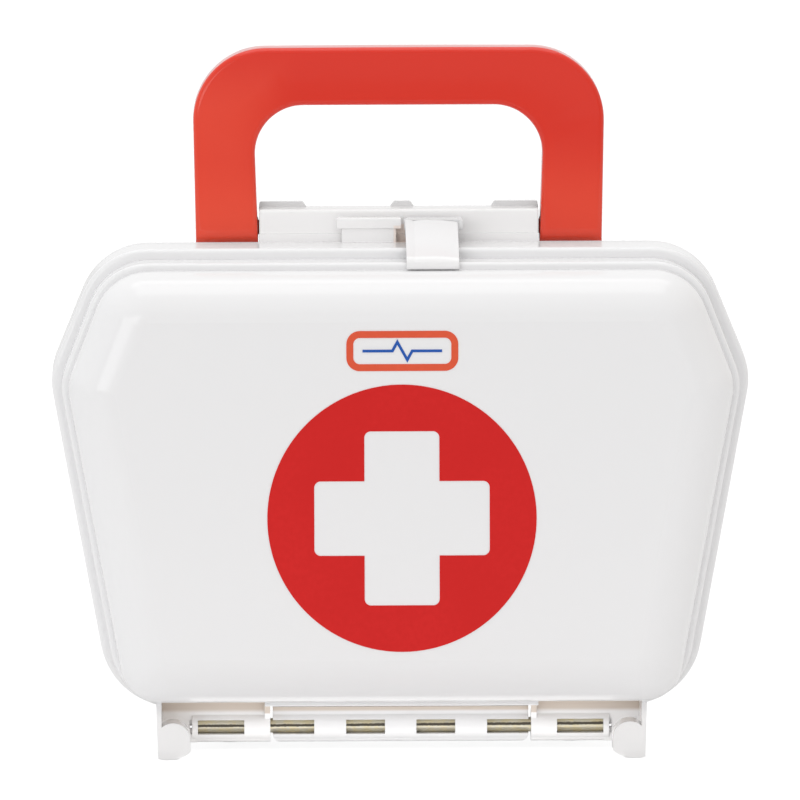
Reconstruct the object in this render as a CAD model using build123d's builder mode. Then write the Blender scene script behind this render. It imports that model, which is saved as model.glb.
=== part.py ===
from build123d import *
import os

# Toy doctor case: two hinged half shells, a folding carry handle and a snap latch.
# Millimetres. X runs across the case, the front faces -Y, +Z is up.
# The origin is on the floor, in the middle of the case, on the parting plane.

os.makedirs("parts", exist_ok=True)

# ---- case outline, at the parting plane (corner points before rounding) ----
rim_top_z = 206.6
rim_top_half = 120.9
waist_z = 155.6
waist_half = 141.8
rim_bottom_z = 19.8
rim_bottom_half = 116.8
top_corner_r = 28.5
waist_corner_r = 26.0
bottom_corner_r = 30.5
body_bottom_corner_r = 21.6

# ---- shells: a rim, a step and a body, each set in from the one before ----
wall = 2.5
front_rim_depth = 22.0
rear_rim_depth = 6.0
step_depth = 37.0
case_half_depth = 57.0
step_inset = 3.2
step_drop = 1.1
body_inset = 5.8
body_drop = 1.5
flank_inset = 0.9
rim_edge_r = 2.0
step_edge_r = 1.6
body_edge_r = 19.0
inner_edge_r = 0.5

# ---- lip of the rear shell that centres the front shell ----
lip_reach = 1.4
lip_thickness = 1.4
lip_clearance = 0.35
lip_root = 0.3

# ---- hinge ----
hinge_z = 9.3
rod_d = 6.0
rod_clearance = 0.08
rod_end_gap = 0.6
rod_chamfer = 0.5
barrel_r = 6.3
barrel_edge_r = 1.2
middle_knuckle_half = 51.95
knuckle_gap = 1.05
end_knuckle_length = 31.8
middle_plate_top_z = 17.4
middle_corner_r = 3.4
parting_clearance = 0.3
window_height = 5.75
middle_window_spans = ((6.4, 22.15), (35.15, 51.95))
end_window_start = 10.6
end_window_length = 18.8
rear_window_margin = 1.4
skirt_thickness = 2.2
recess_rib = 2.3
rib_reach = 8.5
slit_width = 0.9
slit_height = 5.8
slit_depth = 0.9

# ---- feet ----
foot_r = 6.95
foot_height = 15.0
foot_outer = 99.4
foot_web = 2.3
foot_lean = 0.9
sole_r = 11.85
sole_offset = 5.4
foot_sole = 0.25
front_foot_front = 34.0
front_foot_depth = 13.0
rear_foot_outer = 75.0
rear_foot_front = 18.0
rear_foot_back = 34.0

# ---- handle ----
handle_depth = 15.0
handle_top_z = 285.3
handle_crown = 0.35
grip_height = 23.5
handle_outer_top = 83.9
handle_outer_bottom = 82.3
handle_inner = 58.3
handle_outer_r = 29.5
handle_inner_r = 19.7
handle_edge_r = 2.4
pivot_z = 211.7
pivot_y = 14.2
pivot_boss_r = 4.6
pivot_boss_height = 1.2
pivot_boss_chamfer = 0.7
pivot_pin_r = 3.0
pivot_pin_length = 6.4
pivot_clearance = 0.08

# ---- handle bracket on the rear deck ----
bracket_side_gap = 0.4
bracket_depth = 14.4
bracket_height = 17.2
bracket_wall = 2.2
bracket_corner_r = 1.2
bracket_foot_height = 7.4
bracket_foot_step = 0.8
bracket_boss_half = 4.7
pad_height = 2.1
pad_depth = 4.0
pad_length = 19.1
pad_slope = 1.4
pad_end_slope = 0.3
pad_corner_r = 0.9
middle_pad_x = 1.4
middle_pad_half = 4.7
post_clearance = 0.3

# ---- bracket screws ----
screw_pin_gap = 5.7
screw_r = 1.5
screw_clearance = 0.05
screw_length = 10.0
screw_head_r = 3.2
screw_head_height = 2.2
screw_slot_width = 0.9
screw_slot_length = 4.0
screw_slot_depth = 1.2
pilot_depth = 1.0

# ---- latch ----
tongue_x = 13.0
tongue_width = 21.3
tongue_thickness = 2.4
tongue_clearance = 0.4
tongue_bend_r = 2.0
tongue_rise = 2.6
tongue_edge_r = 0.7
cap_x = 13.9
cap_width = 23.8
cap_height = 4.2
cap_depth = 11.2
cap_lift = 5.6
hook_length = 3.6
hook_thickness = 2.0
hook_play = 1.0
keeper_front = 0.6
keeper_thickness = 1.6
keeper_side_gap = 0.4
keeper_gap = 0.4
post_x = -12.3
post_bar_width = 26.2
post_stem_width = 22.1
post_bar_height = 4.4
post_depth = 4.5
post_stem_inset = 0.5
post_edge_r = 0.6
deck_root = 0.6

# ---- printed decoration ----
ink = 0.2
emblem_z = 101.0
emblem_r = 54.2
cross_half = 35.3
cross_arm = 30.2
cross_corner_r = 2.6
badge_x = 0.3
badge_z = 168.8
badge_width = 45.0
badge_height = 16.2
badge_corner_r = 5.4
badge_line = 2.8
pulse_width = 1.1
pulse_rise = 3.6
pulse_half = 16.0

# ---- places worked out from the sizes above ----
bore_r = rod_d / 2 + rod_clearance
skirt_back = lip_reach + lip_clearance
skirt_front = skirt_back + skirt_thickness
deck_z = rim_top_z - step_inset - step_drop
deck_under_z = deck_z - wall
body_top_z = rim_top_z - body_inset - body_drop
body_bottom_z = rim_bottom_z + body_inset - body_drop
step_bottom_z = rim_bottom_z + step_inset - step_drop
floor_top_z = body_bottom_z + wall
end_knuckle_inner = middle_knuckle_half + knuckle_gap
end_knuckle_outer = end_knuckle_inner + end_knuckle_length
end_window_inner = end_knuckle_inner + end_window_start
end_window = (end_window_inner, end_window_inner + end_window_length)
foot_web_inner = foot_outer - foot_web
barrel_bottom_z = hinge_z - barrel_r
handle_front = pivot_y - handle_depth / 2
handle_end_z = pivot_z - handle_depth / 2
bracket_front = pivot_y - bracket_depth / 2
bracket_back = pivot_y + bracket_depth / 2
bracket_top_z = deck_z + bracket_height
boss_face = handle_inner - pivot_boss_height
pin_end = boss_face - pivot_pin_length
screw_x = pin_end - screw_pin_gap
bracket_half = boss_face - bracket_side_gap
pin_bore_r = pivot_pin_r + pivot_clearance
tongue_root_y = -step_depth - tongue_clearance - tongue_thickness / 2
tongue_root_z = body_top_z + tongue_clearance + tongue_thickness / 2
cap_bottom_z = rim_top_z + cap_lift
cap_top_z = cap_bottom_z + cap_height
hook_front = keeper_front + keeper_thickness + hook_play
hook_back = hook_front + hook_thickness
cap_front = hook_back - cap_depth


def case_outline(inset, drop, flank=0, bottom_r=bottom_corner_r):
    """Front outline of the case, set in by inset, lowered by drop, its lower sides in by flank more."""
    right = [
        (rim_top_half, rim_top_z - drop),
        (waist_half - flank, waist_z - drop),
        (rim_bottom_half - flank, rim_bottom_z - drop),
    ]
    left = [(-x, z) for x, z in reversed(right)]
    radii = [top_corner_r, waist_corner_r, bottom_r]
    with BuildSketch() as outline:
        with BuildLine():
            FilletPolyline(*right, *left, radius=radii + radii[::-1], close=True)
        make_face()
        if inset:
            offset(amount=-inset)
    return outline.sketch


def slab(depth, inset, drop, flank, bottom_r, edge_r, facing):
    """One band of a half shell, from the parting plane to depth. Facing is 1 to the front."""
    with BuildPart() as band:
        with BuildSketch(Plane.XZ):
            add(case_outline(inset, drop, flank, bottom_r))
        extrude(amount=facing * depth)
        far_face = band.faces().sort_by(Axis.Y)[0 if facing > 0 else -1]
        fillet(far_face.edges(), edge_r)
    return band.part


def half_shell(bands, facing):
    """Stacked bands of a half shell, hollowed to the wall from the parting plane."""
    with BuildPart() as half:
        for depth, inset, drop, flank, bottom_r, edge_r in bands:
            add(slab(depth, inset, drop, flank, bottom_r, edge_r, facing))
        for depth, inset, drop, flank, bottom_r, edge_r in bands:
            inner_r = max(edge_r - wall, inner_edge_r)
            hollow = slab(depth - wall, inset + wall, drop, flank, bottom_r, inner_r, facing)
            add(hollow, mode=Mode.SUBTRACT)
    return half.part


def foot(outer_x, back_y, front_y, top_z):
    """Round-topped foot on a web at its outer side, which leans inward. Mirrored to -x."""
    crown_z = foot_height - foot_r
    with BuildPart() as pair:
        with BuildSketch(Plane.XZ.offset(-back_y)):
            with Locations((outer_x - foot_r, crown_z)):
                Circle(foot_r)
                Rectangle(2 * foot_r, crown_z, align=(Align.CENTER, Align.MAX))
            with Locations((outer_x - sole_offset, sole_r - foot_sole)):
                Circle(sole_r, mode=Mode.INTERSECT)
            with Locations((outer_x, crown_z)):
                Rectangle(foot_web, top_z - crown_z, align=(Align.MAX, Align.MIN))
            with BuildLine():
                Polyline(
                    (outer_x, top_z),
                    (outer_x - foot_lean, 0),
                    (outer_x + foot_lean, 0),
                    (outer_x + foot_lean, top_z),
                    close=True,
                )
            make_face(mode=Mode.SUBTRACT)
            with Locations((outer_x, 0)):
                Rectangle(4 * foot_r, foot_r, align=(Align.CENTER, Align.MAX), mode=Mode.SUBTRACT)
        extrude(amount=back_y - front_y)
        mirror(about=Plane.YZ)
    return pair.part


def foot_plate(outer_x, back_y, front_y, top_z):
    """Upright plate above a foot, with the same leaning outer side. Mirrored to -x."""
    crown_z = foot_height - foot_r
    low_x = outer_x - foot_lean * (top_z - crown_z) / top_z
    with BuildPart() as pair:
        with BuildSketch(Plane.XZ.offset(-back_y)):
            with BuildLine():
                Polyline(
                    (outer_x - foot_web, crown_z),
                    (low_x, crown_z),
                    (outer_x, top_z),
                    (outer_x - foot_web, top_z),
                    close=True,
                )
            make_face()
        extrude(amount=back_y - front_y)
        mirror(about=Plane.YZ)
    return pair.part


def across(x_span, profile):
    """Solid with a YZ profile, between two X limits."""
    with BuildPart() as bar:
        with BuildSketch(Plane.YZ.offset(x_span[0])):
            add(profile)
        extrude(amount=x_span[1] - x_span[0])
    return bar.part


def block(x_span, y_span, z_span):
    """Box between two limits on each axis."""
    with BuildPart() as solid:
        with BuildSketch(Plane.XY.offset(z_span[0])):
            with Locations((x_span[0], y_span[0])):
                Rectangle(x_span[1] - x_span[0], y_span[1] - y_span[0], align=Align.MIN)
        extrude(amount=z_span[1] - z_span[0])
    return solid.part


def both_sides(solid):
    """A solid and its mirror image across the case."""
    with BuildPart() as pair:
        add(solid)
        mirror(about=Plane.YZ)
    return pair.part


def window(x_span, facing):
    """Slot that shows the rod, open to the front (facing 1) or to the back (-1)."""
    reach = barrel_r + wall
    y_span = (-reach, 0) if facing > 0 else (0, reach)
    return block(x_span, y_span, (hinge_z - window_height / 2, hinge_z + window_height / 2))


def rod_bore():
    """Bore for the rod, through every knuckle."""
    with BuildPart() as bore:
        with BuildSketch(Plane.YZ.offset(-foot_web_inner)):
            with Locations((0, hinge_z)):
                Circle(bore_r)
        extrude(amount=2 * foot_web_inner)
    return bore.part


# ---- front shell: the lid, with the end knuckles and the front feet ----
front_bands = (
    (front_rim_depth, 0, 0, 0, bottom_corner_r, rim_edge_r),
    (step_depth, step_inset, step_drop, flank_inset, bottom_corner_r, step_edge_r),
    (case_half_depth, body_inset, body_drop, flank_inset, body_bottom_corner_r, body_edge_r),
)

with BuildSketch() as barrel_profile:
    with Locations((0, hinge_z)):
        Rectangle(skirt_front, 2 * barrel_r, align=(Align.MAX, Align.CENTER))
    fillet(barrel_profile.vertices().group_by(Axis.X)[0], barrel_edge_r)
    with Locations((0, hinge_z)):
        Circle(barrel_r)

with BuildSketch() as end_knuckle_profile:
    add(barrel_profile.sketch)
    with Locations((-skirt_front, hinge_z)):
        Rectangle(skirt_thickness, floor_top_z - hinge_z, align=Align.MIN)

with BuildSketch() as recess_rib_profile:
    with BuildLine():
        Polyline(
            (-skirt_back, floor_top_z),
            (-rib_reach, floor_top_z),
            (-rib_reach, rim_bottom_z),
            (-skirt_front, hinge_z),
            (-skirt_back, hinge_z),
            close=True,
        )
    make_face()

with BuildPart() as front_shell:
    add(half_shell(front_bands, 1))
    recess_x = (end_knuckle_inner, foot_web_inner + foot_web / 2)
    recess_floor = block(recess_x, (-step_depth, -skirt_back), (body_bottom_z, floor_top_z))
    add(both_sides(recess_floor))
    rib_x = (end_knuckle_inner, end_knuckle_inner + recess_rib)
    pocket = block((rib_x[1], foot_web_inner), (-step_depth - wall, -skirt_front), (0, body_bottom_z))
    add(both_sides(pocket), mode=Mode.SUBTRACT)
    add(both_sides(across((end_knuckle_inner, end_knuckle_outer), end_knuckle_profile.sketch)))
    add(both_sides(across(rib_x, recess_rib_profile.sketch)))
    skirt_x = (end_knuckle_outer - skirt_thickness, foot_web_inner + foot_web / 2)
    skirt_y = (-skirt_front, -skirt_back)
    add(both_sides(block(skirt_x, skirt_y, (barrel_bottom_z, floor_top_z))))
    slit_x = (end_knuckle_outer, end_knuckle_outer + slit_width)
    slit_z = (hinge_z - slit_height / 2, hinge_z + slit_height / 2)
    slit_y = (-skirt_front, slit_depth - skirt_front)
    add(both_sides(block(slit_x, slit_y, slit_z)), mode=Mode.SUBTRACT)
    add(foot(foot_outer, front_foot_depth - front_foot_front, -front_foot_front, floor_top_z))
    add(foot_plate(foot_outer, -skirt_back, -front_foot_front, floor_top_z))
    add(both_sides(window(end_window, 1)), mode=Mode.SUBTRACT)
    rear_window = (rib_x[1], end_window[0] - rear_window_margin)
    add(both_sides(window(rear_window, -1)), mode=Mode.SUBTRACT)
    add(rod_bore(), mode=Mode.SUBTRACT)
front_shell.part.label = "front_shell"
export_step(front_shell.part, "parts/front_shell.step")

# ---- rear shell: carries the middle knuckle, the rear feet, the deck and the latch keeper ----
rear_bands = (
    (rear_rim_depth, 0, 0, 0, bottom_corner_r, rim_edge_r),
    (step_depth, step_inset, step_drop, flank_inset, bottom_corner_r, step_edge_r),
    (case_half_depth, body_inset, body_drop, flank_inset, body_bottom_corner_r, body_edge_r),
)

with BuildSketch() as middle_knuckle_profile:
    add(barrel_profile.sketch)
    with Locations((-skirt_front, hinge_z)):
        Rectangle(skirt_front + barrel_r, middle_plate_top_z - hinge_z, align=Align.MIN)
    with Locations((parting_clearance, hinge_z)):
        web_depth = rear_rim_depth - rim_edge_r - parting_clearance
        Rectangle(web_depth, rim_bottom_z + wall / 2 - hinge_z, align=Align.MIN)

with BuildPart() as middle_knuckle:
    add(across((-middle_knuckle_half, middle_knuckle_half), middle_knuckle_profile.sketch))
    with BuildSketch(Plane.XZ.offset(-2 * barrel_r)):
        with Locations((0, barrel_bottom_z)):
            Rectangle(2 * middle_knuckle_half, 2 * rim_bottom_z, align=(Align.CENTER, Align.MIN))
        fillet(vertices().group_by(Axis.Y)[0], middle_corner_r)
    extrude(amount=4 * barrel_r, mode=Mode.INTERSECT)

with BuildPart() as lip:
    lip_back = rear_rim_depth - wall + lip_root
    with BuildSketch(Plane.XZ.offset(lip_reach)):
        add(case_outline(wall + lip_clearance, 0))
        add(case_outline(wall + lip_clearance + lip_thickness, 0), mode=Mode.SUBTRACT)
    extrude(amount=-lip_reach - lip_back)
    with BuildSketch(Plane.XZ.offset(-parting_clearance)):
        add(case_outline(wall - lip_root, 0))
        add(case_outline(wall + lip_clearance + lip_root, 0), mode=Mode.SUBTRACT)
    extrude(amount=parting_clearance - lip_back)

with BuildPart() as thumb_post:
    with BuildSketch(Plane.XZ.offset(-keeper_front - post_stem_inset)):
        with Locations((post_x, rim_top_z - deck_root)):
            Rectangle(post_stem_width, cap_lift + 2 * deck_root, align=(Align.CENTER, Align.MIN))
    extrude(amount=post_stem_inset - post_depth)
    with BuildSketch(Plane.XZ.offset(-keeper_front)):
        with Locations((post_x, cap_bottom_z)):
            Rectangle(post_bar_width, post_bar_height, align=(Align.CENTER, Align.MIN))
    extrude(amount=-post_depth)
    fillet(thumb_post.faces().sort_by(Axis.Z)[-1].edges(), post_edge_r)

with BuildPart() as rear_shell:
    add(half_shell(rear_bands, -1))
    parting_slice = block((-waist_half, waist_half), (0, parting_clearance), (0, rim_top_z))
    add(parting_slice, mode=Mode.SUBTRACT)
    add(lip.part)
    add(middle_knuckle.part)
    add(foot(rear_foot_outer, rear_foot_back, rear_foot_front, step_bottom_z + wall / 2))
    add(thumb_post.part)
    keeper_half = tongue_width / 2 - keeper_side_gap
    keeper = block(
        (tongue_x - keeper_half, tongue_x + keeper_half),
        (keeper_front, keeper_front + keeper_thickness),
        (rim_top_z - deck_root, cap_bottom_z - keeper_gap),
    )
    add(keeper)
    pin_post = block(
        (pin_end, bracket_half - post_clearance),
        (pivot_y - pivot_pin_r + post_clearance, pivot_y + pivot_pin_r - post_clearance),
        (deck_z - deck_root, pivot_z - pin_bore_r),
    )
    add(both_sides(pin_post))
    near_span, far_span = middle_window_spans
    middle_window_half = near_span[0] - rear_window_margin
    side_window = (near_span[1] + rear_window_margin, far_span[0] - rear_window_margin)
    for span in middle_window_spans:
        add(both_sides(window(span, 1)), mode=Mode.SUBTRACT)
    add(window((-middle_window_half, middle_window_half), -1), mode=Mode.SUBTRACT)
    add(both_sides(window(side_window, -1)), mode=Mode.SUBTRACT)
    add(rod_bore(), mode=Mode.SUBTRACT)
    with BuildSketch(Plane.XY.offset(deck_under_z - wall)):
        with Locations((-screw_x, pivot_y), (0, pivot_y), (screw_x, pivot_y)):
            Circle(screw_r + screw_clearance)
    extrude(amount=3 * wall, mode=Mode.SUBTRACT)
rear_shell.part.label = "rear_shell"
export_step(rear_shell.part, "parts/rear_shell.step")

# ---- hinge rod ----
with BuildPart() as hinge_rod:
    rod_half = end_knuckle_outer - rod_end_gap
    with BuildSketch(Plane.YZ.offset(-rod_half)):
        with Locations((0, hinge_z)):
            Circle(rod_d / 2)
    extrude(amount=2 * rod_half)
    chamfer(hinge_rod.edges().filter_by(GeomType.CIRCLE), rod_chamfer)
hinge_rod.part.label = "hinge_rod"
export_step(hinge_rod.part, "parts/hinge_rod.step")

# ---- handle, with its pivot bosses and pins ----
with BuildSketch() as handle_gap:
    with Locations((0, handle_top_z - grip_height)):
        Rectangle(2 * handle_inner, handle_top_z, align=(Align.CENTER, Align.MAX))
    fillet(handle_gap.vertices().group_by(Axis.Y)[-1], handle_inner_r)

with BuildSketch() as handle_outline:
    shoulder_z = handle_top_z - handle_crown
    leg_root_z = handle_end_z - handle_edge_r
    with BuildLine():
        ThreePointArc((-handle_outer_top, shoulder_z), (0, handle_top_z), (handle_outer_top, shoulder_z))
        Polyline(
            (handle_outer_top, shoulder_z),
            (handle_outer_bottom, leg_root_z),
            (-handle_outer_bottom, leg_root_z),
            (-handle_outer_top, shoulder_z),
        )
    make_face()
    shoulders = handle_outline.vertices().group_by(Axis.Y)[-1]
    fillet(shoulders, handle_outer_r)
    add(handle_gap.sketch, mode=Mode.SUBTRACT)

with BuildSketch() as leg_side:
    with Locations((pivot_y, pivot_z)):
        Circle(handle_depth / 2)
        Rectangle(handle_depth, handle_top_z, align=(Align.CENTER, Align.MIN))

with BuildPart() as handle:
    with BuildSketch(Plane.XZ.offset(-handle_front)):
        add(handle_outline.sketch)
    extrude(amount=-handle_depth)
    front_edges = handle.faces().sort_by(Axis.Y)[0].edges()
    back_edges = handle.faces().sort_by(Axis.Y)[-1].edges()
    fillet(front_edges + back_edges, handle_edge_r)
    add(across((-handle_outer_top, handle_outer_top), leg_side.sketch), mode=Mode.INTERSECT)
    for side in (-1, 1):
        with BuildSketch(Plane.YZ.offset(side * handle_inner)):
            with Locations((pivot_y, pivot_z)):
                Circle(pivot_boss_r)
        extrude(amount=-side * pivot_boss_height)
        boss_rim = handle.faces().filter_by_position(Axis.X, side * boss_face, side * boss_face)
        chamfer(boss_rim.edges(), pivot_boss_chamfer)
        with BuildSketch(Plane.YZ.offset(side * boss_face)):
            with Locations((pivot_y, pivot_z)):
                Circle(pivot_pin_r)
        extrude(amount=-side * pivot_pin_length)
handle.part.label = "handle"
export_step(handle.part, "parts/handle.step")

# ---- bracket on the deck that holds the handle pins from above ----
with BuildSketch() as pin_slot_profile:
    with Locations((pivot_y, pivot_z)):
        Circle(pin_bore_r)
        Rectangle(2 * pin_bore_r, pivot_z - deck_z, align=(Align.CENTER, Align.MAX))

pad_inner = bracket_half - pad_length
pads = (
    (-bracket_half, -pad_inner, pad_end_slope, pad_slope),
    (middle_pad_x - middle_pad_half, middle_pad_x + middle_pad_half, pad_slope, pad_slope),
    (pad_inner, bracket_half, pad_slope, pad_end_slope),
)

with BuildPart() as handle_bracket:
    with BuildSketch(Plane.XZ.offset(-bracket_front)):
        with Locations((0, deck_z)):
            Rectangle(2 * bracket_half, bracket_height, align=(Align.CENTER, Align.MIN))
        fillet(vertices().group_by(Axis.Y)[-1], bracket_corner_r)
    extrude(amount=-bracket_depth)
    top_edges = handle_bracket.edges().filter_by_position(Axis.Z, bracket_top_z, bracket_top_z)
    fillet(top_edges.filter_by(Axis.X), bracket_corner_r)
    add(
        block(
            (-bracket_half, bracket_half),
            (bracket_front - bracket_foot_step, bracket_front + bracket_wall),
            (deck_z, deck_z + bracket_foot_height),
        )
    )
    for left, right, left_slope, right_slope in pads:
        with BuildSketch(Plane.XZ.offset(-bracket_back)):
            with BuildLine():
                Polyline(
                    (left, bracket_top_z - bracket_corner_r),
                    (left, bracket_top_z),
                    (left + left_slope, bracket_top_z + pad_height),
                    (right - right_slope, bracket_top_z + pad_height),
                    (right, bracket_top_z),
                    (right, bracket_top_z - bracket_corner_r),
                    close=True,
                )
            make_face()
            fillet(vertices().group_by(Axis.Y)[-1], pad_corner_r)
        extrude(amount=pad_depth)
    bay = block(
        (bracket_boss_half, screw_x - bracket_boss_half),
        (bracket_front + bracket_wall, bracket_back - bracket_wall),
        (deck_z, bracket_top_z - bracket_wall),
    )
    add(both_sides(bay), mode=Mode.SUBTRACT)
    slot_x = (pin_end - post_clearance, bracket_half)
    add(both_sides(across(slot_x, pin_slot_profile.sketch)), mode=Mode.SUBTRACT)
    with BuildSketch(Plane.XY.offset(deck_z)):
        with Locations((-screw_x, pivot_y), (0, pivot_y), (screw_x, pivot_y)):
            Circle(screw_r + screw_clearance)
    extrude(amount=screw_length - wall + pilot_depth, mode=Mode.SUBTRACT)
handle_bracket.part.label = "handle_bracket"
export_step(handle_bracket.part, "parts/handle_bracket.step")

# ---- three pan-head screws, driven from inside the case ----
with BuildPart() as bracket_screws:
    screw_head_z = deck_under_z - screw_head_height
    with BuildSketch(Plane.XY.offset(screw_head_z)):
        with Locations((-screw_x, pivot_y), (0, pivot_y), (screw_x, pivot_y)):
            Circle(screw_head_r)
    extrude(amount=screw_head_height)
    low_rims = bracket_screws.edges().filter_by_position(Axis.Z, screw_head_z, screw_head_z)
    fillet(low_rims, screw_head_height / 2)
    with BuildSketch(Plane.XY.offset(deck_under_z)):
        with Locations((-screw_x, pivot_y), (0, pivot_y), (screw_x, pivot_y)):
            Circle(screw_r)
    extrude(amount=screw_length)
    with BuildSketch(Plane.XY.offset(screw_head_z)):
        with Locations((-screw_x, pivot_y), (0, pivot_y), (screw_x, pivot_y)):
            Rectangle(screw_slot_length, screw_slot_width)
            Rectangle(screw_slot_width, screw_slot_length)
    extrude(amount=screw_slot_depth, mode=Mode.SUBTRACT)
bracket_screws.part.label = "bracket_screws"
export_step(bracket_screws.part, "parts/bracket_screws.step")

# ---- latch tongue: a bent strap with a thumb cap and a hook behind the keeper ----
with BuildSketch() as strap_profile:
    cap_line_z = cap_top_z - tongue_thickness / 2
    with BuildLine():
        FilletPolyline(
            (tongue_root_y, tongue_root_z),
            (tongue_root_y, tongue_root_z + tongue_rise),
            (cap_front, cap_line_z),
            (hook_front, cap_line_z),
            radius=tongue_bend_r,
        )
    trace(line_width=tongue_thickness)
    with Locations((tongue_root_y, tongue_root_z)):
        Circle(tongue_thickness / 2)

with BuildPart() as thumb_cap:
    cap_span = (cap_x - cap_width / 2, cap_x + cap_width / 2)
    add(block(cap_span, (cap_front, hook_back), (cap_bottom_z, cap_top_z)))
    fillet(thumb_cap.edges().filter_by(Axis.Y), tongue_edge_r)

with BuildPart() as latch_tongue:
    tongue_span = (tongue_x - tongue_width / 2, tongue_x + tongue_width / 2)
    add(across(tongue_span, strap_profile.sketch))
    add(thumb_cap.part)
    hook_z = (cap_bottom_z - hook_length, cap_bottom_z + cap_height / 2)
    add(block(tongue_span, (hook_front, hook_back), hook_z))
latch_tongue.part.label = "latch_tongue"
export_step(latch_tongue.part, "parts/latch_tongue.step")

# ---- printing on the lid ----
with BuildPart() as emblem_disc:
    with BuildSketch(Plane.XZ.offset(case_half_depth)):
        with Locations((0, emblem_z)):
            Circle(emblem_r)
        with BuildSketch(mode=Mode.PRIVATE) as cross:
            with Locations((0, emblem_z)):
                Rectangle(2 * cross_half, cross_arm)
                Rectangle(cross_arm, 2 * cross_half)
            tips = cross.vertices().filter_by(lambda v: abs(v.X) + abs(v.Y - emblem_z) > cross_half)
            fillet(tips, cross_corner_r)
        add(cross.sketch, mode=Mode.SUBTRACT)
    extrude(amount=ink)
emblem_disc.part.label = "emblem_disc"
export_step(emblem_disc.part, "parts/emblem_disc.step")

with BuildPart() as badge_border:
    with BuildSketch(Plane.XZ.offset(case_half_depth)):
        with Locations((badge_x, badge_z)):
            RectangleRounded(badge_width, badge_height, badge_corner_r)
            RectangleRounded(
                badge_width - 2 * badge_line,
                badge_height - 2 * badge_line,
                badge_corner_r - badge_line,
                mode=Mode.SUBTRACT,
            )
    extrude(amount=ink)
badge_border.part.label = "badge_border"
export_step(badge_border.part, "parts/badge_border.step")

with BuildPart() as badge_pulse:
    beat = pulse_half / 8
    with BuildSketch(Plane.XZ.offset(case_half_depth)):
        with BuildLine():
            Polyline(
                (badge_x - pulse_half, badge_z),
                (badge_x - 2 * beat, badge_z),
                (badge_x - beat, badge_z + pulse_rise),
                (badge_x + beat, badge_z - pulse_rise),
                (badge_x + 2 * beat, badge_z),
                (badge_x + pulse_half, badge_z),
            )
        trace(line_width=pulse_width)
    extrude(amount=ink)
badge_pulse.part.label = "badge_pulse"
export_step(badge_pulse.part, "parts/badge_pulse.step")
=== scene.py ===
"""Toy doctor case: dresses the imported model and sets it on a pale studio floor."""

import math

import bmesh
import bpy
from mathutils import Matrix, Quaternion, Vector


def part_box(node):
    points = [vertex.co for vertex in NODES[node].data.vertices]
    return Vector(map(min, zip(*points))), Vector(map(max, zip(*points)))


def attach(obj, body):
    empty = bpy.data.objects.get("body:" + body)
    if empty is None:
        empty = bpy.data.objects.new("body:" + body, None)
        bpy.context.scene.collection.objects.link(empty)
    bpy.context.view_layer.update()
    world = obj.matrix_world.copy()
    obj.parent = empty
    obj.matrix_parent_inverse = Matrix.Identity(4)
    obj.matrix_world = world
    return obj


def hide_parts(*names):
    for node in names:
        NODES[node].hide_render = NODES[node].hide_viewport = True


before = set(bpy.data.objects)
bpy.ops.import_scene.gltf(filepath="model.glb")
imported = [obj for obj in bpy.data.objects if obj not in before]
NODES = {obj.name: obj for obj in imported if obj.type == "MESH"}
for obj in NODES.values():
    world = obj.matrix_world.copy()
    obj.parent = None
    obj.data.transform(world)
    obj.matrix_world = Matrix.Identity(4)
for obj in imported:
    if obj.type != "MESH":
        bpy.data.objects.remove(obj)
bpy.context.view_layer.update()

bl_info = {
    "name": "Toy Doctor Case",
    "version": (1, 1, 0),
    "blender": (4, 5, 0),
    "location": "View3D > Sidebar > Doctor Case",
    "description": "Moulded case with hinge, latch, folding handle and printed lid",
    "category": "Object",
}

MM = 0.001


# ---- sizes and colours a user would change ----


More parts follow.
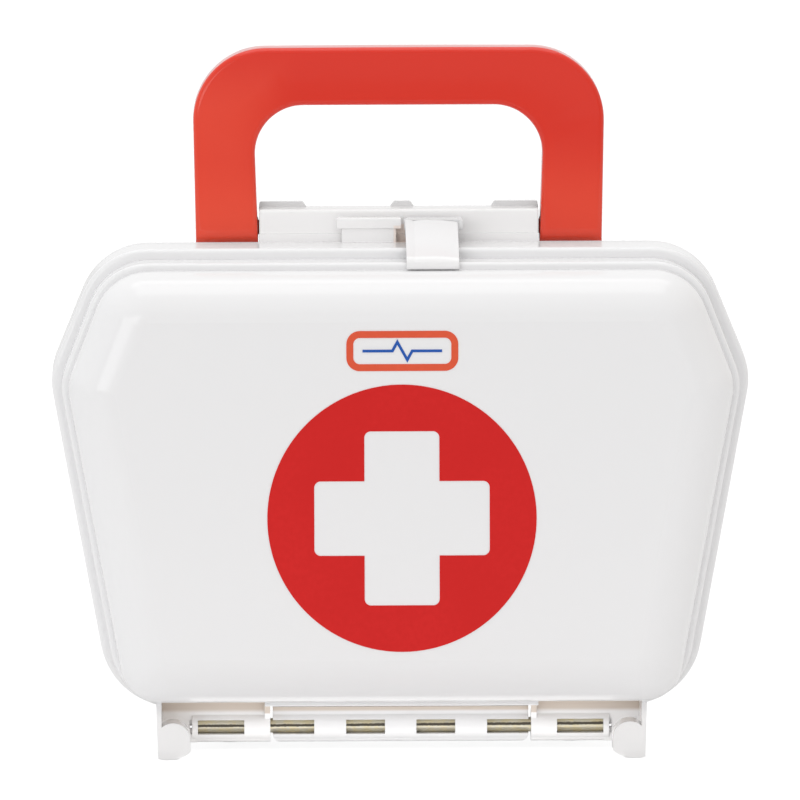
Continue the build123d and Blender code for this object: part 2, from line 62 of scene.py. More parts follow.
class CaseFinish(bpy.types.PropertyGroup):
    shell_colour: bpy.props.FloatVectorProperty(
        name="Shell Colour",
        description="Colour of the two moulded shells",
        subtype="COLOR",
        size=3,
        min=0.0,
        max=1.0,
        default=(0.857, 0.855, 0.861),
    )
    # Painted light: a lighter white painted where more light falls, on the hinge, the latch and the
    # whole bracket.
    painted_light_colour: bpy.props.FloatVectorProperty(
        name="Bright Colour",
        description="Colour of the thin sections that light shines into",
        subtype="COLOR",
        size=3,
        min=0.0,
        max=1.0,
        default=(0.965, 0.957, 0.955),
    )
    # Painted shade: a greyer white painted on the bracket's pads, which stand in shade.
    painted_shade_colour: bpy.props.FloatVectorProperty(
        name="Shade Colour",
        description="Greyer white of the pads that the handle rubs",
        subtype="COLOR",
        size=3,
        min=0.0,
        max=1.0,
        default=(0.76, 0.755, 0.757),
    )
    # Painted shade: a warm darker white painted in the deep recesses and crevices, where shade
    # falls.
    painted_recess_shade_colour: bpy.props.FloatVectorProperty(
        name="Warm Colour",
        description="Colour the white resin takes in its deep recesses",
        subtype="COLOR",
        size=3,
        min=0.0,
        max=1.0,
        default=(0.69, 0.60, 0.52),
    )
    shell_roughness: bpy.props.FloatProperty(
        name="Shell Roughness",
        description="Roughness of the moulded shells",
        min=0.0,
        max=1.0,
        default=0.13,
    )
    handle_colour: bpy.props.FloatVectorProperty(
        name="Handle Colour",
        description="Colour of the carrying handle",
        subtype="COLOR",
        size=3,
        min=0.0,
        max=1.0,
        default=(0.725, 0.023, 0.006),
    )
    # Painted light: a paler red painted on the arms where more light falls on them.
    handle_painted_light: bpy.props.FloatVectorProperty(
        name="Handle Light",
        description="Paler red of the arms near their pivots, where the resin ran thin",
        subtype="COLOR",
        size=3,
        min=0.0,
        max=1.0,
        default=(0.845, 0.066, 0.028),
    )
    handle_roughness: bpy.props.FloatProperty(
        name="Handle Roughness",
        description="Roughness of the carrying handle",
        min=0.0,
        max=1.0,
        default=0.14,
    )
    emblem_colour: bpy.props.FloatVectorProperty(
        name="Emblem Colour",
        description="Ink of the round emblem",
        subtype="COLOR",
        size=3,
        min=0.0,
        max=1.0,
        default=(0.63, 0.014, 0.013),
    )
    border_colour: bpy.props.FloatVectorProperty(
        name="Border Colour",
        description="Ink of the badge border",
        subtype="COLOR",
        size=3,
        min=0.0,
        max=1.0,
        default=(0.73, 0.1, 0.045),
    )
    pulse_colour: bpy.props.FloatVectorProperty(
        name="Pulse Colour",
        description="Ink of the line in the badge",
        subtype="COLOR",
        size=3,
        min=0.0,
        max=1.0,
        default=(0.02, 0.10, 0.42),
    )
    rod_colour: bpy.props.FloatVectorProperty(
        name="Rod Colour",
        description="Yellow zinc plating of the hinge rod",
        subtype="COLOR",
        size=3,
        min=0.0,
        max=1.0,
        default=(0.70, 0.66, 0.54),
    )
    # Painted light: a warm glow painted into the narrow shaded gap beside the latch.
    painted_gap_glow_colour: bpy.props.FloatVectorProperty(
        name="Amber Colour",
        description="Colour light takes in the narrow gap beside the latch",
        subtype="COLOR",
        size=3,
        min=0.0,
        max=1.0,
        default=(0.98, 0.87, 0.80),
    )
    grain_size: bpy.props.FloatProperty(
        name="Grain Size",
        description="Width of the fine grain left by the mould",
        unit="LENGTH",
        min=0.0002,
        max=0.01,
        default=0.0011,
    )
    edge_radius: bpy.props.FloatProperty(
        name="Edge Radius",
        description="Softness of the moulded edges",
        unit="LENGTH",
        min=0.0,
        max=0.002,
        default=0.0005,
    )


class StageSettings(bpy.types.PropertyGroup):
    camera_distance: bpy.props.FloatProperty(
        name="Camera Distance", description="Camera to parting plane", unit="LENGTH", default=6.011
    )
    camera_height: bpy.props.FloatProperty(
        name="Camera Height", description="Camera above the floor", unit="LENGTH", default=0.8427
    )
    floor_size: bpy.props.FloatProperty(
        name="Floor Size", description="Side of the square floor", unit="LENGTH", default=60.0
    )
    floor_front: bpy.props.FloatProperty(
        name="Floor Front", description="Floor in front of the case", unit="LENGTH", default=0.75
    )
    sky_level: bpy.props.FloatProperty(
        name="Sky Level", description="Strength of the even studio light", min=0.0, default=0.893
    )
    front_shade: bpy.props.FloatProperty(
        name="Front Shade",
        description="Share of the studio light left behind the camera",
        min=0.0,
        max=1.0,
        default=0.7,
    )


# ---- shader helpers ----


class Shader:
    """A small builder for one node tree."""

    def __init__(self, tree):
        self.tree = tree

    def add(self, kind, settings=(), **values):
        made = self.tree.nodes.new(kind)
        for name, value in dict(settings).items():
            setattr(made, name, value)
        for name, value in values.items():
            self.put(made.inputs[name.replace("_", " ")], value)
        return made

    def put(self, socket, value):
        if isinstance(value, bpy.types.NodeSocket):
            self.tree.links.new(value, socket)
        else:
            socket.default_value = value

    def maths(self, operation, first, second=None, clamp=False):
        made = self.tree.nodes.new("ShaderNodeMath")
        made.operation = operation
        made.use_clamp = clamp
        self.put(made.inputs[0], first)
        if second is not None:
            self.put(made.inputs[1], second)
        return made.outputs[0]

    def vector(self, operation, first, second=None):
        made = self.tree.nodes.new("ShaderNodeVectorMath")
        made.operation = operation
        self.put(made.inputs[0], first)
        if second is not None:
            self.put(made.inputs[1], second)
        return made.outputs["Value" if operation == "DOT_PRODUCT" else "Vector"]

    def spread(self, value, low, high, out_low=0.0, out_high=1.0, kind="SMOOTHSTEP"):
        made = self.add("ShaderNodeMapRange", {"interpolation_type": kind})
        self.put(made.inputs["Value"], value)
        self.put(made.inputs["From Min"], low)
        self.put(made.inputs["From Max"], high)
        self.put(made.inputs["To Min"], out_low)
        self.put(made.inputs["To Max"], out_high)
        return made.outputs["Result"]

    def blend(self, factor, first, second):
        made = self.tree.nodes.new("ShaderNodeMix")
        made.data_type = "RGBA"
        self.put(made.inputs["Factor"], factor)
        self.put(made.inputs["A"], first)
        self.put(made.inputs["B"], second)
        return made.outputs["Result"]

    def here(self):
        return self.add("ShaderNodeTexCoord").outputs["Object"]

    def noise(self, place, scale, detail=2.0, roughness=0.5, stretch=None):
        if stretch is not None:
            mapped = self.add("ShaderNodeMapping", Vector=place, Scale=stretch)
            place = mapped.outputs["Vector"]
        made = self.add(
            "ShaderNodeTexNoise", Vector=place, Scale=scale, Detail=detail, Roughness=roughness
        )
        return made.outputs["Fac"]

    def effect(self, group, **values):
        made = self.add("ShaderNodeGroup", {"node_tree": group()}, **values)
        return made.outputs


def rgba(colour):
    return (*colour, 1.0)


def new_group(name, inputs, outputs):
    """An empty node group with named sockets, its builder, and its inner ends."""
    tree = bpy.data.node_groups.new(name, "ShaderNodeTree")
    for label, kind, value in inputs:
        socket = tree.interface.new_socket(name=label, in_out="INPUT", socket_type=kind)
        socket.default_value = value
    for label, kind in outputs:
        tree.interface.new_socket(name=label, in_out="OUTPUT", socket_type=kind)
    shader = Shader(tree)
    entry = shader.add("NodeGroupInput")
    leave = shader.add("NodeGroupOutput")
    return tree, shader, entry.outputs, leave.inputs


FLOAT = "NodeSocketFloat"
VECTOR = "NodeSocketVector"


def moulding_skin():
    """Group: fine grain and slow sinks of a moulded surface, and how its gloss drifts."""
    name = "Moulding Skin"
    if name in bpy.data.node_groups:
        return bpy.data.node_groups[name]
    tree, shader, entry, leave = new_group(
        name,
        [("Grain Size", FLOAT, 0.001), ("Sink Size", FLOAT, 0.03)],
        [("Height", FLOAT), ("Gloss Drift", FLOAT)],
    )
    here = shader.here()
    grain = shader.noise(here, shader.maths("DIVIDE", 1.0, entry["Grain Size"]), detail=3.0)
    sink = shader.noise(here, shader.maths("DIVIDE", 1.0, entry["Sink Size"]), detail=1.0)
    fine = shader.maths("MULTIPLY", grain, 0.12)
    slow = shader.maths("MULTIPLY", sink, 0.88)
    height = shader.maths("ADD", fine, slow)
    drift = shader.noise(here, 65.0, detail=5.0, roughness=0.6)
    shader.put(leave["Height"], height)
    shader.put(leave["Gloss Drift"], shader.maths("SUBTRACT", drift, 0.5))
    return tree


def handling_marks():
    """Group: sparse hair scratches and rubbed patches, as a mask."""
    name = "Handling Marks"
    if name in bpy.data.node_groups:
        return bpy.data.node_groups[name]
    tree, shader, entry, leave = new_group(
        name,
        [("Patch Size", FLOAT, 0.05), ("Amount", FLOAT, 1.0)],
        [("Scratches", FLOAT), ("Rubbing", FLOAT)],
    )
    here = shader.here()
    scratches = None
    for turn, stretch in (
        ((0.0, 0.35, 0.0), (30.0, 900.0, 900.0)),
        ((0.0, -0.9, 0.2), (40.0, 1100.0, 1100.0)),
    ):
        turned = shader.add("ShaderNodeMapping", Vector=here, Rotation=turn, Scale=stretch)
        line = shader.noise(turned.outputs["Vector"], 1.0, detail=1.0)
        line = shader.spread(line, 0.72, 0.76)
        scratches = line if scratches is None else shader.maths("MAXIMUM", scratches, line)
    patches = shader.noise(here, shader.maths("DIVIDE", 1.0, entry["Patch Size"]), detail=4.0)
    sparse = shader.spread(patches, 0.52, 0.68)
    scratches = shader.maths("MULTIPLY", scratches, sparse)
    shader.put(leave["Scratches"], shader.maths("MULTIPLY", scratches, entry["Amount"]))
    rubbing = shader.spread(patches, 0.45, 0.75)
    shader.put(leave["Rubbing"], shader.maths("MULTIPLY", rubbing, entry["Amount"]))
    return tree


def soft_edges():
    """Group: normal rounded over each edge, and a mask of the edges, where wear and a painted
    highlight go.
    """
    name = "Soft Edges"
    if name in bpy.data.node_groups:
        return bpy.data.node_groups[name]
    tree, shader, entry, leave = new_group(
        name, [("Radius", FLOAT, 0.0005)], [("Normal", VECTOR), ("Edge", FLOAT)]
    )
    rounded = shader.add("ShaderNodeBevel", {"samples": 6}, Radius=entry["Radius"])
    flat = shader.add("ShaderNodeNewGeometry").outputs["Normal"]
    facing = shader.vector("DOT_PRODUCT", rounded.outputs["Normal"], flat)
    shader.put(leave["Normal"], rounded.outputs["Normal"])
    shader.put(leave["Edge"], shader.spread(facing, 0.985, 0.86))
    return tree


def soft_block():
    """Group: 1 inside a block of space, fading to 0 over its margin."""
    name = "Soft Block"
    if name in bpy.data.node_groups:
        return bpy.data.node_groups[name]
    tree, shader, entry, leave = new_group(
        name,
        [("Centre", VECTOR, (0, 0, 0)), ("Half Size", VECTOR, (0, 0, 0)), ("Margin", FLOAT, 0.002)],
        [("Mask", FLOAT)],
    )
    away = shader.vector("ABSOLUTE", shader.vector("SUBTRACT", shader.here(), entry["Centre"]))
    outside = shader.vector("SUBTRACT", away, entry["Half Size"])
    past = shader.add("ShaderNodeSeparateXYZ", Vector=outside)
    furthest = shader.maths("MAXIMUM", past.outputs[0], past.outputs[1])
    furthest = shader.maths("MAXIMUM", furthest, past.outputs[2])
    share = shader.maths("DIVIDE", furthest, entry["Margin"])
    shader.put(leave["Mask"], shader.spread(share, 1.0, 0.0))
    return tree


def new_material(name):
    """A material with an empty tree, its Principled BSDF and its output."""
    material = bpy.data.materials.new(name)
    material.use_nodes = True
    material.node_tree.nodes.clear()
    shader = Shader(material.node_tree)
    surface = shader.add("ShaderNodeBsdfPrincipled")
    output = shader.add("ShaderNodeOutputMaterial")
    material.node_tree.links.new(surface.outputs["BSDF"], output.inputs["Surface"])
    return material, shader, surface


def moulded_plastic(
    name,
    colour,
    roughness,
    finish,
    edge_wear_and_highlight=0.02,
    marks=1.0,
    painted_blocks=(),
    bounce=None,
    specular=0.5,
    coat=0.0,
):
    """Moulded resin: grain, slow sinks, drifting gloss, faint marks, and rounded edges lightened by
    wear and a painted highlight.

    Painted blocks are rows of a table of painted light and shade; bounce is the colour it lends to
    what stands beside it.
    """
    material, shader, surface = new_material(name)
    skin = shader.effect(moulding_skin, Grain_Size=finish.grain_size)
    wear = shader.effect(handling_marks, Amount=marks)
    edges = shader.effect(soft_edges, Radius=finish.edge_radius)
    tone = rgba(colour)
    # Paint light and shade into the colour, block by block.
    for centre, half, margin, strength, painted_tone in painted_blocks:
        block = shader.effect(
            soft_block,
            Centre=Vector(centre) * MM,
            Half_Size=Vector(half) * MM,
            Margin=margin * MM,
        )
        share = shader.maths("MULTIPLY", block["Mask"], strength)
        tone = shader.blend(share, tone, rgba(getattr(finish, painted_tone)))
    dulled = [channel * 0.93 for channel in colour]
    tone = shader.blend(shader.maths("MULTIPLY", wear["Scratches"], 0.06), tone, rgba(dulled))
    # Edges lighter in colour: wear and a painted highlight.
    bright = [channel + edge_wear_and_highlight * (1.0 - channel) for channel in colour]
    tone = shader.blend(shader.maths("MULTIPLY", edges["Edge"], 0.3), tone, rgba(bright))
    drift = shader.maths("MULTIPLY", skin["Gloss Drift"], 0.04)
    rubbed = shader.maths("MULTIPLY", wear["Rubbing"], 0.012)
    scratched = shader.maths("MULTIPLY", wear["Scratches"], 0.04)
    gloss = shader.maths("ADD", shader.maths("ADD", roughness, drift), rubbed)
    gloss = shader.maths("ADD", gloss, scratched, clamp=True)
    bump = shader.add(
        "ShaderNodeBump",
        Strength=0.35,
        Distance=0.00006,
        Height=skin["Height"],
        Normal=edges["Normal"],
    )
    if bounce is not None:
        path = shader.add("ShaderNodeLightPath").outputs
        mirrored = shader.maths("MULTIPLY", path["Is Glossy Ray"], 0.8)
        spill = shader.maths("MAXIMUM", path["Is Diffuse Ray"], mirrored)
        tone = shader.blend(spill, tone, rgba(bounce))
    shader.put(surface.inputs["Base Color"], tone)
    shader.put(surface.inputs["Roughness"], gloss)
    shader.put(surface.inputs["Normal"], bump.outputs["Normal"])
    surface.inputs["IOR"].default_value = 1.49
    surface.inputs["Specular IOR Level"].default_value = specular
    surface.inputs["Coat Weight"].default_value = coat
    surface.inputs["Coat Roughness"].default_value = 0.07
    return material


def printed_ink(name, colour):
    """Pad-printed ink: a thin film with faint mottling, duller than the resin."""
    material, shader, surface = new_material(name)
    here = shader.here()
    mottle = shader.noise(here, 420.0, detail=3.0)
    cloud = shader.noise(here, 28.0, detail=2.0)
    thin = [min(1.0, channel * 1.05 + 0.002) for channel in colour]
    film = shader.maths("MULTIPLY", mottle, cloud)
    tone = shader.blend(shader.spread(film, 0.15, 0.45), rgba(colour), rgba(thin))
    skin = shader.effect(moulding_skin, Grain_Size=0.0004)
    gloss = shader.maths("ADD", 0.38, shader.maths("MULTIPLY", skin["Gloss Drift"], 0.12))
    bump = shader.add("ShaderNodeBump", Strength=0.3, Distance=0.00003, Height=skin["Height"])
    shader.put(surface.inputs["Base Color"], tone)
    shader.put(surface.inputs["Roughness"], gloss)
    shader.put(surface.inputs["Normal"], bump.outputs["Normal"])
    surface.inputs["IOR"].default_value = 1.45
    surface.inputs["Specular IOR Level"].default_value = 0.2
    return material


# Tilt and waviness of the painted dark reflection line on the rod.
REFLECTION_LINE_TILT = 0.003
REFLECTION_LINE_WAVE = 0.5 * MM


def zinc_plate(name, colour, reflection_z):
    """Yellow zinc on drawn steel: lines along x, a painted dark reflection line, blotched plating.
    """
    material, shader, surface = new_material(name)
    here = shader.here()
    lines = shader.noise(here, 1.0, detail=3.0, stretch=(60.0, 2600.0, 2600.0))
    blotch = shader.noise(here, 330.0, detail=4.0, roughness=0.65)
    yellow = (colour[0] * 1.04, colour[1] * 0.98, colour[2] * 0.80)
    tone = shader.blend(shader.spread(blotch, 0.4, 0.65), rgba(colour), rgba(yellow))
    grey = [channel * 0.72 for channel in colour]
    drawn = shader.maths("MULTIPLY", shader.spread(lines, 0.5, 0.8), 0.5)
    tone = shader.blend(drawn, tone, rgba(grey))
    # Painted reflection: a dark line along the rod's front, just above its middle, standing for the
    # shaded floor it mirrors.
    place = shader.add("ShaderNodeSeparateXYZ", Vector=here)
    ragged = shader.noise(here, 900.0, detail=2.0)
    tilt = shader.maths("MULTIPLY", place.outputs["X"], REFLECTION_LINE_TILT)
    wave = shader.maths("MULTIPLY", shader.maths("SUBTRACT", ragged, 0.5), REFLECTION_LINE_WAVE)
    height = shader.maths("SUBTRACT", place.outputs["Z"], reflection_z)
    height = shader.maths("ADD", shader.maths("SUBTRACT", height, tilt), wave)
    reflection_line = shader.spread(shader.maths("ABSOLUTE", height), 0.72 * MM, 0.36 * MM)
    reflection_line = shader.maths("MULTIPLY", reflection_line, shader.spread(place.outputs["Y"], 0.0, -0.5 * MM))
    tone = shader.blend(shader.maths("MULTIPLY", reflection_line, 0.95), tone, (0.06, 0.052, 0.042, 1.0))
    gloss = shader.maths("ADD", 0.24, shader.maths("MULTIPLY", blotch, 0.16))
    bump = shader.add("ShaderNodeBump", Strength=0.5, Distance=0.00003, Height=lines)
    shader.put(surface.inputs["Base Color"], tone)
    shader.put(surface.inputs["Roughness"], gloss)
    shader.put(surface.inputs["Normal"], bump.outputs["Normal"])
    surface.inputs["Metallic"].default_value = 0.72
    return material


def clothe(node, material):
    mesh = NODES[node].data
    mesh.materials.clear()
    mesh.materials.append(material)


# Blocks of space where light and shade are painted into the resin's colour: centre, half size
# and margin in mm, strength and which of the finish colours it takes there.
# Lid: painted light over the hinge knuckles and feet; painted shade in the recesses under the shell
# and on the ribs.
LID_PAINTED_LIGHT_SHADE = (
    ((0.0, -16.0, 8.0), (103.0, 24.0, 9.0), 4.0, 1.0, "painted_light_colour"),
    ((-75.0, -4.8, 20.6), (24.0, 1.2, 3.8), 2.0, 1.0, "painted_recess_shade_colour"),
    ((75.0, -4.8, 20.6), (24.0, 1.2, 3.8), 2.0, 1.0, "painted_recess_shade_colour"),
    ((-99.0, -4.8, 22.0), (2.0, 1.4, 3.0), 20.0, 0.35, "painted_recess_shade_colour"),
    ((-52.5, -7.5, 20.0), (2.5, 4.0, 4.5), 0.8, 1.0, "painted_recess_shade_colour"),
    ((52.5, -7.5, 20.0), (2.5, 4.0, 4.5), 0.8, 1.0, "painted_recess_shade_colour"),
)
# Body: painted light on the middle knuckle and the latch post; painted shade above the middle
# knuckle; painted glow in the latch gap.
BODY_PAINTED_LIGHT_SHADE = (
    ((0.0, 0.0, 8.0), (103.0, 14.0, 7.0), 3.0, 0.3, "painted_light_colour"),
    ((0.0, -5.5, 18.8), (52.0, 3.5, 2.4), 1.2, 1.0, "painted_recess_shade_colour"),
    ((-12.3, 4.0, 212.0), (14.0, 6.0, 7.0), 1.5, 1.0, "painted_light_colour"),
    ((0.8, 8.0, 207.0), (2.6, 10.0, 6.0), 0.8, 1.0, "painted_gap_glow_colour"),
)
# Handle: painted light on the left arm and near both pivots.
HANDLE_PAINTED_LIGHT = (
    ((-84.0, 14.0, 236.0), (14.0, 12.0, 20.0), 32.0, 0.62, "handle_painted_light"),
    ((-72.0, 14.0, 210.0), (6.0, 12.0, 4.0), 28.0, 1.0, "handle_painted_light"),
    ((74.0, 14.0, 214.0), (6.0, 12.0, 4.0), 36.0, 0.75, "handle_painted_light"),
)
# Latch: painted light on the strap's lower lip, where a shadow would show.
LATCH_PAINTED_LIGHT = (((13.0, -39.6, 201.4), (12.5, 1.2, 2.6), 1.5, 0.5, "painted_light_colour"),)
# Bracket: painted glow in the gap beside the latch; painted shade on the pads.
BRACKET_PAINTED_LIGHT_SHADE = (
    ((0.8, 8.0, 208.0), (2.4, 5.0, 5.0), 0.8, 1.0, "painted_gap_glow_colour"),
    ((0.0, 14.0, 222.0), (60.0, 10.0, 2.2), 0.6, 1.0, "painted_shade_colour"),
)


# ---- moulded pieces ----

MERGE_GAP = 0.01 * MM
CREASE_ANGLE = math.radians(28.0)


def merged_copy(node):
    """The shape of a CAD node with its corners joined."""
    form = bmesh.new()
    form.from_mesh(NODES[node].data)
    form.transform(NODES[node].matrix_world)
    bmesh.ops.remove_doubles(form, verts=form.verts, dist=MERGE_GAP)
    bmesh.ops.dissolve_degenerate(form, edges=form.edges, dist=MERGE_GAP)
    return form


def new_piece(name, form, material, node, body):
    """A smooth piece made of form, which stands for a CAD node and rides on a body."""
    mesh = bpy.data.meshes.new(name)
    form.normal_update()
    form.to_mesh(mesh)
    form.free()
    mesh.shade_smooth()
    mesh.set_sharp_from_angle(angle=CREASE_ANGLE)
    mesh.materials.append(material)
    piece = bpy.data.objects.new(name, mesh)
    bpy.context.scene.collection.objects.link(piece)
    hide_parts(node)
    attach(piece, body)


def ease(value, low, high):
    """0 at low, 1 at high, level at both ends."""
    share = min(1.0, max(0.0, (value - low) / (high - low)))
    return share * share * (3.0 - 2.0 * share)


# Front of the latch strap, across its width: x and how far it lies below the flat, in mm.
STRAP_RELIEF = (
    (2.0, 0.0),
    (4.7, 0.0),
    (5.4, 0.3),
    (6.3, 0.3),
    (7.6, 0.05),
    (12.0, 0.0),
    (16.5, 0.05),
    (19.0, 0.28),
    (21.5, 0.62),
    (24.0, 1.0),
    (26.0, 1.0),
)


STRAP_FACING = Vector((0.0, -0.5, 0.85)).normalized()


def strap_depth(x):
    """How far the strap's front lies below the flat at x, both in mm."""
    for (start, low), (end, high) in zip(STRAP_RELIEF, STRAP_RELIEF[1:]):
        if start <= x <= end:
            return low + (high - low) * (x - start) / (end - start)
    return 0.0


def relieve_tongue(form):
    """Cut a shallow channel beside a rib down the front of the strap and slope its far side."""
    for x, _ in STRAP_RELIEF[1:-1]:
        bmesh.ops.bisect_plane(
            form,
            geom=form.verts[:] + form.edges[:] + form.faces[:],
            dist=0.001 * MM,
            plane_co=(x * MM, 0.0, 0.0),
            plane_no=(1.0, 0.0, 0.0),
        )
    form.normal_update()
    front = {vert for face in form.faces if is_strap_front(face) for vert in face.verts}
    for vert in front:
        vert.co -= STRAP_FACING * strap_depth(vert.co.x / MM) * MM


def is_strap_front(face):
    """Whether a face looks up and forward, as the strap's front does."""
    normal = face.normal
    return normal.z > 0.3 and normal.y < -0.05 and abs(normal.x) < 0.2


ARM_INNER = 58.2 * MM
FLARE_REACH = 4.5 * MM
FLARE_TOP = 241.0 * MM
FLARE_LENGTH = 33.0 * MM
FLARE_DEPTH = 1.2 * MM


def flare_arms(form):
    """Widen the handle's arms inwards towards their pivots."""
    for vert in form.verts:
        across = abs(vert.co.x)
        if ARM_INNER < across < ARM_INNER + FLARE_REACH and vert.co.z < FLARE_TOP:
            low = min(1.0, (FLARE_TOP - vert.co.z) / FLARE_LENGTH)
            near = 1.0 - ease(across, ARM_INNER, ARM_INNER + FLARE_REACH)
            vert.co.x -= math.copysign(FLARE_DEPTH * low * near, vert.co.x)


# ---- the case ----


class CASE_OT_shells(bpy.types.Operator):
    """Finish both moulded shells and the handle bracket"""

    bl_idname = "doctor_case.shells"
    bl_label = "Finish Shells"

    def execute(self, context):
        finish = context.scene.case_finish
        gloss = finish.shell_roughness
        white = (finish.shell_colour, gloss, finish)
        lid = moulded_plastic("Lid White", *white, marks=0.3, painted_blocks=LID_PAINTED_LIGHT_SHADE)
        body = moulded_plastic("Body White", *white, marks=0.3, painted_blocks=BODY_PAINTED_LIGHT_SHADE)
        # Painted light: the whole bracket takes the lighter white, standing in for the light
        # falling on it.
        bracket = moulded_plastic(
            "Bracket White", finish.painted_light_colour, gloss, finish, marks=0.3, painted_blocks=BRACKET_PAINTED_LIGHT_SHADE
        )
        clothe("front_shell", lid)
        clothe("rear_shell", body)
        clothe("handle_bracket", bracket)
        return {"FINISHED"}


class CASE_OT_latch(bpy.types.Operator):
    """Shape and finish the latch tongue"""

    bl_idname = "doctor_case.latch"
    bl_label = "Make Latch"

    def execute(self, context):
        finish = context.scene.case_finish
        form = merged_copy("latch_tongue")
        relieve_tongue(form)
        white = moulded_plastic(
            "Latch White",
            finish.shell_colour,
            finish.shell_roughness,
            finish,
            marks=0.3,
            painted_blocks=LATCH_PAINTED_LIGHT,
        )
        new_piece("moulded_tongue", form, white, "latch_tongue", "latch")
        return {"FINISHED"}


class CASE_OT_handle(bpy.types.Operator):
    """Shape and finish the carrying handle"""

    bl_idname = "doctor_case.handle"
    bl_label = "Make Handle"

    def execute(self, context):
        finish = context.scene.case_finish
        form = merged_copy("handle")
        flare_arms(form)
        red = moulded_plastic(
            "Moulded Red",
            finish.handle_colour,
            finish.handle_roughness,
            finish,
            edge_wear_and_highlight=0.05,
            bounce=(0.80, 0.73, 0.72),
            painted_blocks=HANDLE_PAINTED_LIGHT,
            specular=0.35,
            coat=0.3,
        )
        new_piece("moulded_handle", form, red, "handle", "handle")
        return {"FINISHED"}


class CASE_OT_hardware(bpy.types.Operator):
    """Finish the rod and the screws"""

    bl_idname = "doctor_case.hardware"
    bl_label = "Finish Hardware"

    def execute(self, context):
        finish = context.scene.case_finish
        low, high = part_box("hinge_rod")
        middle = (low[2] + high[2]) / 2
        plate = zinc_plate("Zinc Plate", finish.rod_colour, middle + 0.5 * MM)
        clothe("hinge_rod", plate)
        clothe("bracket_screws", plate)
        return {"FINISHED"}


class CASE_OT_print(bpy.types.Operator):
    """Finish the printed emblem and badge"""

    bl_idname = "doctor_case.print"
    bl_label = "Finish Print"

    def execute(self, context):
        finish = context.scene.case_finish
        clothe("emblem_disc", printed_ink("Red Ink", finish.emblem_colour))
        clothe("badge_border", printed_ink("Orange Ink", finish.border_colour))
        clothe("badge_pulse", printed_ink("Blue Ink", finish.pulse_colour))
        return {"FINISHED"}


class CASE_OT_stage(bpy.types.Operator):
    """Lay the floor, hang the lights and stand the camera"""

    bl_idname = "doctor_case.stage"
    bl_label = "Build Stage"

    def execute(self, context):
        settings = context.scene.stage_settings
        lay_floor(settings.floor_size, settings.floor_front)
        light_world(context.scene, settings)
        hang_lights()
        stand_camera(context.scene, settings)
        return {"FINISHED"}


def lay_floor(size, near_edge):
    """White paper; the camera sees its shadows, and the opened lid below it."""
    mesh = bpy.data.meshes.new("studio_floor")
    form = bmesh.new()
    bmesh.ops.create_grid(form, x_segments=1, y_segments=1, size=size / 2)
    bmesh.ops.translate(form, verts=form.verts, vec=(0.0, size / 2 - near_edge, 0.0))
    form.to_mesh(mesh)
    form.free()
    floor = bpy.data.objects.new("studio_floor", mesh)
    bpy.context.scene.collection.objects.link(floor)
    material = bpy.data.materials.new("Studio Paper")
    material.use_nodes = True
    material.node_tree.nodes.clear()
    shader = Shader(material.node_tree)
    paper = shader.add("ShaderNodeBsdfDiffuse", Color=(0.86, 0.86, 0.86, 1.0))
    tint = shader.add("ShaderNodeBsdfDiffuse", Color=(0.25, 0.25, 0.25, 1.0))
    clear = shader.add("ShaderNodeBsdfTransparent", Color=(0.87, 0.87, 0.87, 1.0))
    seen = shader.add("ShaderNodeAddShader")
    shader.tree.links.new(tint.outputs[0], seen.inputs[0])
    shader.tree.links.new(clear.outputs[0], seen.inputs[1])
    path = shader.add("ShaderNodeLightPath")
    camera, through = path.outputs["Is Camera Ray"], path.outputs["Is Transmission Ray"]
    plain = shader.maths("MAXIMUM", camera, through)
    pick = shader.add("ShaderNodeMixShader")
    shader.tree.links.new(plain, pick.inputs[0])
    shader.tree.links.new(paper.outputs[0], pick.inputs[1])
    shader.tree.links.new(seen.outputs[0], pick.inputs[2])
    output = shader.add("ShaderNodeOutputMaterial")
    shader.tree.links.new(pick.outputs[0], output.inputs["Surface"])
    mesh.materials.append(material)


def light_world(scene, settings):
    """Even light all round, with a darker band low down in front, where the camera stands."""
    world = bpy.data.worlds.new("Studio")
    scene.world = world
    world.use_nodes = True
    tree = world.node_tree
    tree.nodes.clear()
    shader = Shader(tree)
    way = shader.add("ShaderNodeTexCoord").outputs["Generated"]
    parts = shader.add("ShaderNodeSeparateXYZ", Vector=way)
    ahead = shader.spread(parts.outputs["Y"], -0.35, -0.75)
    low = shader.spread(parts.outputs["Z"], 0.42, 0.22)
    shade = shader.maths("MULTIPLY", ahead, low)
    level = shader.spread(shade, 0.0, 1.0, 1.0, settings.front_shade, kind="LINEAR")
    strength = shader.maths("MULTIPLY", level, settings.sky_level)
    seen = shader.add("ShaderNodeLightPath").outputs["Is Camera Ray"]
    unseen = shader.maths("SUBTRACT", 1.0, seen)
    strength = shader.spread(seen, 0.0, 1.0, strength, 1.0, kind="LINEAR")
    right = shader.maths("MULTIPLY", shader.spread(parts.outputs["X"], 0.3, 0.9), unseen)
    tint = shader.blend(right, (1.0, 1.0, 1.0, 1.0), (0.90, 0.865, 0.835, 1.0))
    sky = shader.add("ShaderNodeBackground", Color=tint, Strength=strength)
    output = shader.add("ShaderNodeOutputWorld")
    tree.links.new(sky.outputs[0], output.inputs["Surface"])


def softbox(name, place, target, width, height, power):
    lamp = bpy.data.lights.new(name, "AREA")
    lamp.shape = "RECTANGLE"
    lamp.size = width
    lamp.size_y = height
    lamp.energy = power
    holder = bpy.data.objects.new(name, lamp)
    bpy.context.scene.collection.objects.link(holder)
    holder.location = place
    holder.rotation_mode = "QUATERNION"
    holder.rotation_quaternion = (Vector(target) - Vector(place)).to_track_quat("-Z", "Y")
    holder.visible_camera = False


CASE_MIDDLE = (0.0, 0.0, 0.13)

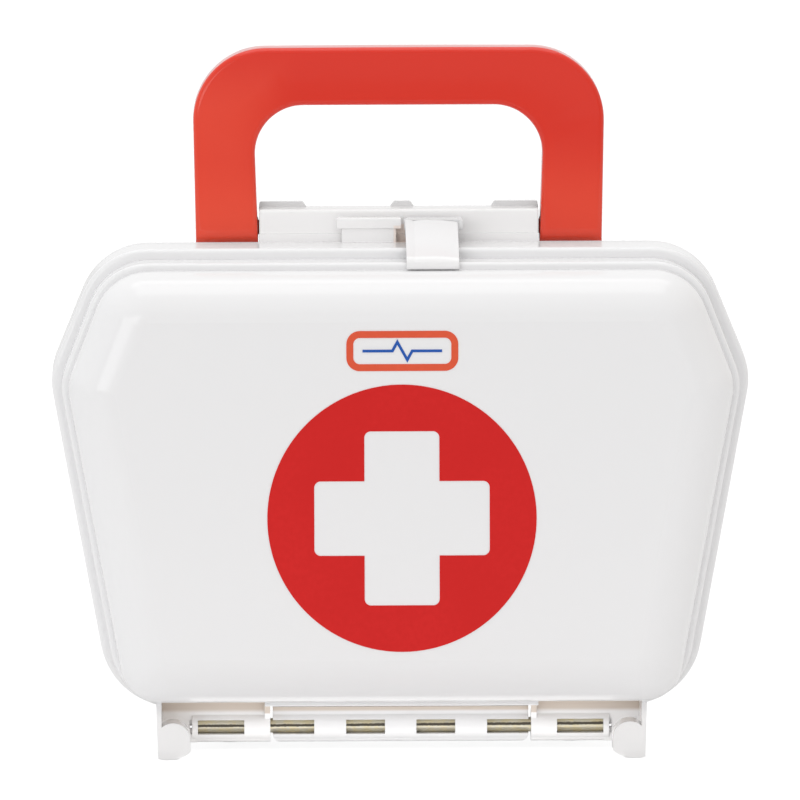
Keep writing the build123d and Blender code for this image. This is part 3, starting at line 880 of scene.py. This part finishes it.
# Soft boxes: name, place, aim, width and height in metres, power in watts.
SOFT_BOXES = (
    ("front_low", (0.0, -2.0, 0.3), CASE_MIDDLE, 2.4, 0.5, 0.7),
    ("front_left", (-1.45, -2.6, 0.62), CASE_MIDDLE, 1.9, 0.85, 8.8),
    ("overhead", (0.0, -0.25, 1.35), CASE_MIDDLE, 1.0, 0.6, 2.1),
    ("back_top", (0.0, 0.25, 1.3), CASE_MIDDLE, 1.2, 0.3, 1.5),
    ("light_table", (0.0, -0.30, 0.003), (0.0, -0.30, 1.0), 1.1, 0.6, 0.13),
    ("hinge_fill", (0.0, -0.022, 0.0006), (0.0, -0.022, 1.0), 0.18, 0.026, 0.0122),
)


def hang_lights():
    for name, place, aim, width, height, power in SOFT_BOXES:
        softbox(name, place, aim, width, height, power)


PICTURE_SIDE = 800.0
FOCAL_LENGTH = 14912.0
SENSOR_WIDTH = 36.0
CAMERA_YAW = math.radians(0.83)
CAMERA_PITCH = math.radians(6.646)
CAMERA_ROLL = math.radians(-0.15)
AIM_X = 0.15 * MM


def stand_camera(scene, settings):
    """Stand the camera in front and a little above; its focal length is in pixels."""
    lens = bpy.data.cameras.new("camera")
    lens.sensor_width = SENSOR_WIDTH
    lens.lens = FOCAL_LENGTH / PICTURE_SIDE * SENSOR_WIDTH
    lens.clip_start = 0.1
    lens.clip_end = 100.0
    camera = bpy.data.objects.new("camera", lens)
    scene.collection.objects.link(camera)
    away = settings.camera_distance
    camera.location = (-away * math.tan(CAMERA_YAW), -away, settings.camera_height)
    look = Vector((AIM_X - camera.location.x, away, -away * math.tan(CAMERA_PITCH)))
    roll = Quaternion((0.0, 0.0, 1.0), CAMERA_ROLL)
    camera.rotation_mode = "QUATERNION"
    camera.rotation_quaternion = look.to_track_quat("-Z", "Y") @ roll
    scene.camera = camera


class CASE_PT_panel(bpy.types.Panel):
    """Shows the buttons that build the doctor case, and its settings"""

    bl_idname = "CASE_PT_panel"
    bl_label = "Doctor Case"
    bl_space_type = "VIEW_3D"
    bl_region_type = "UI"
    bl_category = "Doctor Case"

    def draw(self, context):
        column = self.layout.column()
        for made in OPERATORS:
            column.operator(made.bl_idname)
        for group in (context.scene.case_finish, context.scene.stage_settings):
            for name in group.bl_rna.properties.keys():
                if name not in ("rna_type", "name"):
                    column.prop(group, name)


OPERATORS = (
    CASE_OT_shells,
    CASE_OT_latch,
    CASE_OT_handle,
    CASE_OT_hardware,
    CASE_OT_print,
    CASE_OT_stage,
)
CLASSES = (CaseFinish, StageSettings, *OPERATORS, CASE_PT_panel)


def register():
    for made in CLASSES:
        bpy.utils.register_class(made)
    bpy.types.Scene.case_finish = bpy.props.PointerProperty(type=CaseFinish)
    bpy.types.Scene.stage_settings = bpy.props.PointerProperty(type=StageSettings)


def unregister():
    del bpy.types.Scene.stage_settings
    del bpy.types.Scene.case_finish
    for made in reversed(CLASSES):
        bpy.utils.unregister_class(made)


def main():
    register()
    scene = bpy.context.scene
    scene.view_settings.view_transform = "Standard"
    for made in OPERATORS:
        area, name = made.bl_idname.split(".")
        getattr(getattr(bpy.ops, area), name)()


if __name__ == "__main__":
    main()
